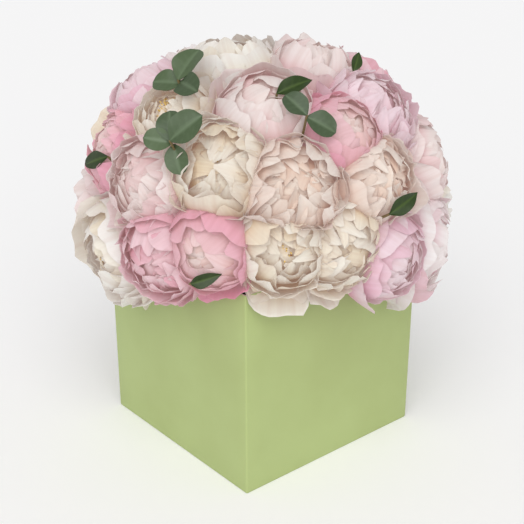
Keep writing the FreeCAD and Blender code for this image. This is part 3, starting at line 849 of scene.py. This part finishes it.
# %% The plan of the greenery
GREENERY = [
    ("gum_sprig_upper_left", 246, 70, (288, 42), (33, -42, 35),
     ((82, 6, 34), (338, 24, 29), (188, 20, 27)), "gum"),
    ("gum_sprig_left", 285, 43, (302, 30), (18, -25, 28),
     ((40, 20, 33), (105, 8, 27), (178, 26, 24), (288, -6, 25)), "gum"),
    ("gum_sprig_right", 341, 53, (328, 38), (-10, -25, 22), ((128, 6, 25), (332, 2, 27)), "gum"),
    ("gum_sprig_back", 125, 42, (125, 42), (0, 0, 6), ((40, 16, 36), (160, 20, 36), (280, 18, 34)), "gum"),
    ("peony_leaf_left", 231, 14, (285, 15), (70, 18, 42), ((200, 0, 36),), "peony"),
    ("peony_leaf_top", 42, 64, (340, 40), (-11, -13, 10), ((60, 6, 24),), "peony"),
    ("peony_leaf_crown", 346, 70, (325, 38), (-24, -42, 32), ((28, 0, 36),), "peony"),
    ("peony_leaf_right", 20, 10, (335, 15), (-60, -2, 46), ((28, 0, 34),), "peony"),
    ("peony_leaf_front", 295, 1, (315, 5), (18, -9, 12), ((18, 4, 27),), "peony"),
    ("peony_leaf_back", 174, 13, (174, 13), (0, 0, 6), ((90, 20, 44),), "peony"),
]
print(len(GREENERY), "twigs with", sum(len(row[5]) for row in GREENERY), "leaves planned")

# %% [markdown]
# ## The leaf maker
# Gum leaves are round, thick and grey-green, a few to a sprig; peony leaves are long, pointed, dark
# and glossy. Each leaf is a closed thin sheet folded along its midrib, bent down towards the tip and
# gently waved at the edge. A flat card with a picture of a leaf would be quicker, but it would have no
# fold to catch the light. The rib and veins are a little paler than the blade.

# %% The leaf maker
LEAF_TONES = {
    "gum": ((44, 60, 40), (80, 98, 66), (112, 130, 102)),
    "peony": ((30, 48, 8), (46, 68, 16), (84, 106, 46)),
}
WIDEST_AT = {"gum": 0.48, "peony": 0.36}
HALF_WIDTH = {"gum": 0.40, "peony": 0.22}
FOLD = {"gum": 0.30, "peony": 0.45}
DROOP = 0.22
EDGE_WAVE = 0.025
VEIN_PAIRS = 11
RIB_WIDTH = 0.10
RIB_SHARE = 0.45
LEAF_THICKNESS = 0.6 * MM
LEAF_GRID = (17, 9)
LEAF_FACES = sheet_faces(*LEAF_GRID)


def leaf(rng, length, kind):
    """A leaf along +X with its stalk at the origin and its upper face towards +Z."""
    rows, columns = LEAF_GRID
    along, across = np.meshgrid(np.linspace(0, 1, rows), np.linspace(-1, 1, columns), indexing="ij")
    widest = WIDEST_AT[kind]
    past = np.clip((along - widest) / (1 - widest), 0, 1)
    taper = np.sqrt(1 - past ** 2.4) if kind == "gum" else np.cos(0.5 * np.pi * past ** 1.15)
    swell = np.where(along < widest, np.sin(0.5 * np.pi * (0.06 + 0.94 * along / widest)), taper)
    side = across * HALF_WIDTH[kind] * np.maximum(swell, 0.02)
    wave = EDGE_WAVE * np.sin(9 * along + rng.uniform(0, 6)) * across ** 2
    height = FOLD[kind] * np.abs(side) + wave - DROOP * along ** 2
    top = (np.stack((along, side, height), -1) * length).reshape(-1, 3)
    points = np.concatenate((top, top - np.array((0, 0, LEAF_THICKNESS))))
    low, high, rib = (linear(*tone) for tone in LEAF_TONES[kind])
    stripes = np.cos((along * VEIN_PAIRS - np.abs(across) * 3.2) * 2 * math.pi)
    vein = np.clip(stripes - 0.55, 0, 1) * 0.5
    pale = np.clip(np.exp(-(across / RIB_WIDTH) ** 2) + vein, 0, 1)[..., None]
    blade = blend(low, high, rng.uniform(0.1, 0.9))
    tint = blend(blade, rib, RIB_SHARE * pale).reshape(-1, 3)
    return points, np.concatenate((tint, blend(tint, high, 0.5)))


print("one leaf has", len(LEAF_FACES), "faces")

# %% [markdown]
# ## Making the greenery
# Every twig runs straight from the foam to its bent tip, and its leaves start there, each a little
# below the last so that they overlap like real ones. A leaf that would pass through the card is moved
# out of it in the same way as the petals.

# %% Build the sprigs and leaves
LEAF_SEED = 500
TWIG_RISE = 28 * MM
TWIG_SHARE = 0.46
TWIG_SUNK = 9 * MM
TWIG_RADIUS = 1.3 * MM
TWIG_TIP_RADIUS = 1.1 * MM
TWIG_SIDES = 8
LEAF_STEP = 3 * MM

for number, (name, azimuth, elevation, face, bend, leaves, kind) in enumerate(GREENERY):
    rng = np.random.default_rng(LEAF_SEED + number)
    axes = frame_at(heading(*face))
    straight_tip = dome_point(azimuth, elevation) + heading(azimuth, elevation) * TWIG_RISE
    tip = straight_tip + axes @ np.array(bend) * MM
    heap = Heap()
    for order, (turn, lift, length) in enumerate(leaves):
        points, tint = leaf(rng, length * MM, kind)
        points = turned(turned(points, lift, ABOUT_Y), turn, ABOUT_Z) - np.array((0, 0, LEAF_STEP * order))
        heap.add(outside_card(points @ axes.T + tip), LEAF_FACES, tint, GREENS)
    twig_foot = np.array((tip[0] * TWIG_SHARE, tip[1] * TWIG_SHARE, foam_top - TWIG_SUNK))
    points, faces = tube(twig_foot, tip, TWIG_RADIUS, TWIG_TIP_RADIUS, TWIG_SIDES)
    heap.add(points, faces, TWIG_BROWN, GREENS)
    heap.piece("greens_" + name, "arrangement", name, slot_of[name])
print("sprigs and leaves made:", len(GREENERY))
